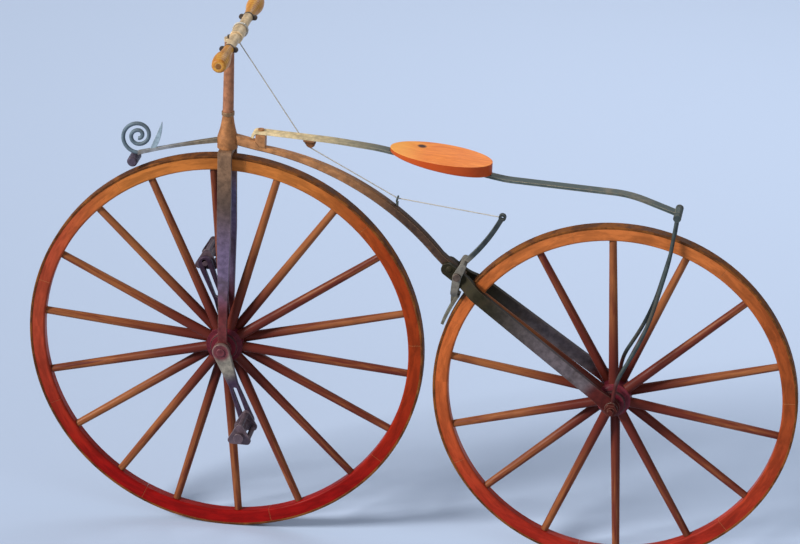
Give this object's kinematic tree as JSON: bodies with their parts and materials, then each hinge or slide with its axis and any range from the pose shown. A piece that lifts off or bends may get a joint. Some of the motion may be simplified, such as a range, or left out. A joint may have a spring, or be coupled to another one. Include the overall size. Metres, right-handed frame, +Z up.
{
  "type": "pedal velocipede with wooden wheels",
  "caption": "Two-wheeled pedal velocipede: wooden spoked wheels, iron backbone, sprung wooden saddle, cranked front axle, steered fork and cord-pulled shoe brake.",
  "frame": {"origin": "the middle of the saddle's top, where the rider sits", "axes": "+X backwards to the rear wheel, +Y to the rider's right, +Z up; Y = 0 is the frame's middle plane"},
  "size_m": [1.7659, 0.458, 1.2219],
  "materials": {
    "wheel_wood": "worn orange-red paint and varnish on ash",
    "hub_wood": "dark red-brown paint on turned wood",
    "tyre_iron": "dark rusted iron",
    "frame_iron": "olive-brown aged wrought iron",
    "crank_iron": "dark grey-blue forged iron",
    "spring_iron": "grey-green painted spring iron",
    "rest_iron": "dark teal-grey painted iron",
    "rest_wood": "dark stained wood",
    "saddle_wood": "bright orange varnished wood",
    "grip_wood": "orange-brown varnished turned wood",
    "brass": "dull aged brass",
    "cord": "twisted hemp cord"
  },
  "bodies": {
    "frame": {"head_socket": "frame_iron", "backbone": "frame_iron", "leg_rivet": "frame_iron", "rear_leg_left": "frame_iron", "rear_leg_right": "frame_iron", "rear_axle": "crank_iron", "rear_axle_nuts": "crank_iron", "seat_spring": "spring_iron", "spring_bracket": "frame_iron", "spring_eye_bolt": "spring_iron", "stay_left": "spring_iron", "stay_right": "spring_iron", "saddle": "saddle_wood", "saddle_bolts": "frame_iron", "brake_lever": "frame_iron", "brake_pivot_bolt": "frame_iron", "brake_shoe": "frame_iron", "cord_guide": "frame_iron", "cord_sheave": "brass", "cord_eyelet": "frame_iron", "brake_cord_upper": "cord", "brake_cord_lower": "cord", "leg_rest_stem": "rest_iron", "leg_rest_scroll": "rest_iron", "leg_rest_leaf": "rest_iron", "leg_rest_bar": "rest_wood"},
    "steering": {"steering_column": "frame_iron", "head_collar": "brass", "fork_crown": "frame_iron", "fork_leg_left": "frame_iron", "fork_leg_right": "frame_iron", "fork_bearing_left": "brass", "fork_bearing_right": "brass", "bar_bracket": "frame_iron", "column_nut": "frame_iron", "handlebar": "frame_iron", "grip_flanges": "frame_iron", "grip_left": "grip_wood", "grip_right": "grip_wood"},
    "front_wheel": {"front_tyre": "tyre_iron", "front_felloes": "wheel_wood", "front_spokes": "wheel_wood", "front_hub": "hub_wood", "front_hub_bands": "tyre_iron", "front_axle": "crank_iron", "crank_left": "crank_iron", "crank_right": "crank_iron", "pedal_pin_left": "crank_iron", "pedal_pin_right": "crank_iron"},
    "left_pedal": {"pedal_left": "crank_iron"},
    "right_pedal": {"pedal_right": "crank_iron"},
    "rear_wheel": {"rear_tyre": "tyre_iron", "rear_felloes": "wheel_wood", "rear_spokes": "wheel_wood", "rear_hub": "hub_wood", "rear_hub_bands": "tyre_iron"}
  },
  "joints": [
    {"name": "steering_turn", "type": "hinge", "parent": "frame", "child": "steering", "pos_m": [-0.484, 0, 0.01113], "axis": [0, 0, 1], "range_deg": [-40, 40], "deforming": ["brake_cord_upper"]},
    {"name": "front_wheel_spin", "type": "hinge", "parent": "steering", "child": "front_wheel", "pos_m": [-0.478, 0, -0.50187], "axis": [0, 1, 0], "continuous": true},
    {"name": "left_pedal_spin", "type": "hinge", "parent": "front_wheel", "child": "left_pedal", "pos_m": [-0.41472, -0.1136, -0.66503], "axis": [0, 1, 0], "continuous": true},
    {"name": "right_pedal_spin", "type": "hinge", "parent": "front_wheel", "child": "right_pedal", "pos_m": [-0.54128, 0.1136, -0.33871], "axis": [0, 1, 0], "continuous": true},
    {"name": "rear_wheel_spin", "type": "hinge", "parent": "frame", "child": "rear_wheel", "pos_m": [0.417, 0, -0.54487], "axis": [0, 1, 0], "continuous": true}
  ]
}
